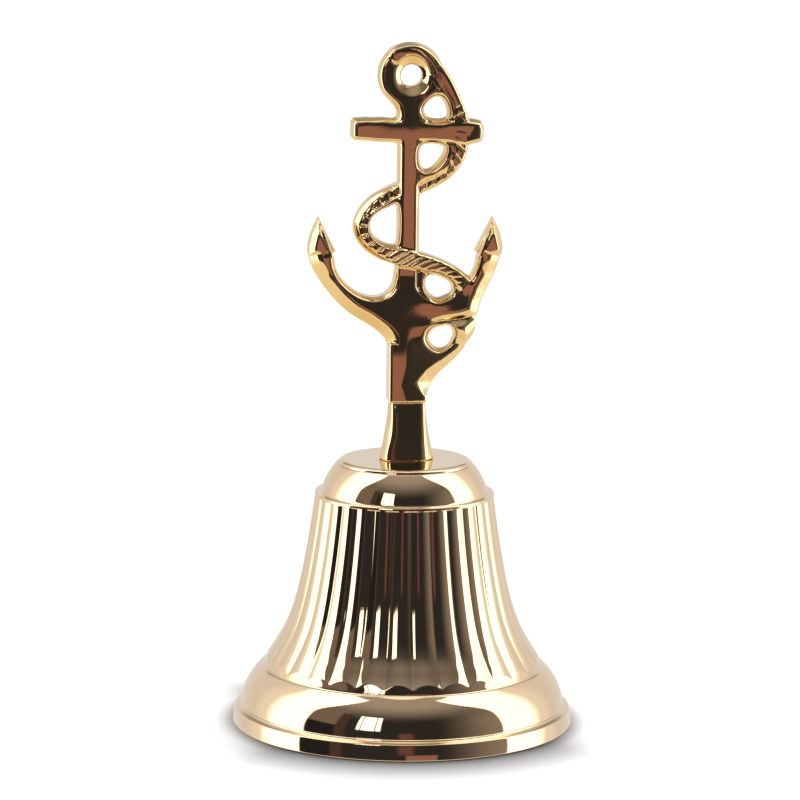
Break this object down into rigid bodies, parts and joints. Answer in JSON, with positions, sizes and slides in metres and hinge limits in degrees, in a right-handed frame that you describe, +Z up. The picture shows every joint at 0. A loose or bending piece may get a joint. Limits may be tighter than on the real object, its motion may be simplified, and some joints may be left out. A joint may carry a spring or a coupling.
{
  "type": "hand bell",
  "caption": "Polished brass ship's hand bell with reeded waist, foul-anchor handle with roped shank and lanyard eye, and a clapper on a swivelling yoke.",
  "frame": {"origin": "centre of the bell's mouth, in the plane of the rim it stands on", "axes": "+Z up along the bell's axis to the head of the anchor; the anchor lies flat in the XZ plane and its front faces -Y, with the rope's outer run on the +X side"},
  "size_m": [0.09, 0.09, 0.1811],
  "materials": {
    "bell_brass": "polished",
    "anchor_brass": "polished",
    "yoke_brass": "satin",
    "clapper_brass": "turned",
    "zinc_steel": "zinc plated",
    "spring_steel": "oiled black"
  },
  "bodies": {
    "bell": {"bell_shell": "bell_brass", "anchor_handle": "anchor_brass", "handle_stud": "zinc_steel", "crown_washer": "zinc_steel", "lock_washer": "spring_steel", "crown_nut": "zinc_steel", "yoke_nut": "zinc_steel"},
    "yoke": {"clapper_yoke": "yoke_brass", "yoke_pin": "zinc_steel", "pin_clip": "spring_steel", "spacer_low": "yoke_brass", "spacer_high": "yoke_brass"},
    "clapper": {"clapper_rod": "clapper_brass", "clapper_jam_nut": "zinc_steel", "clapper_ball": "clapper_brass"}
  },
  "joints": [
    {"name": "yoke_swivel", "type": "hinge", "parent": "bell", "child": "yoke", "pos_m": [0, 0, 0.057], "axis": [0, 0, 1], "continuous": true},
    {"name": "clapper_swing", "type": "hinge", "parent": "yoke", "child": "clapper", "pos_m": [0, 0, 0.0456], "axis": [0, 1, 0], "range_deg": [-39, 39]}
  ]
}
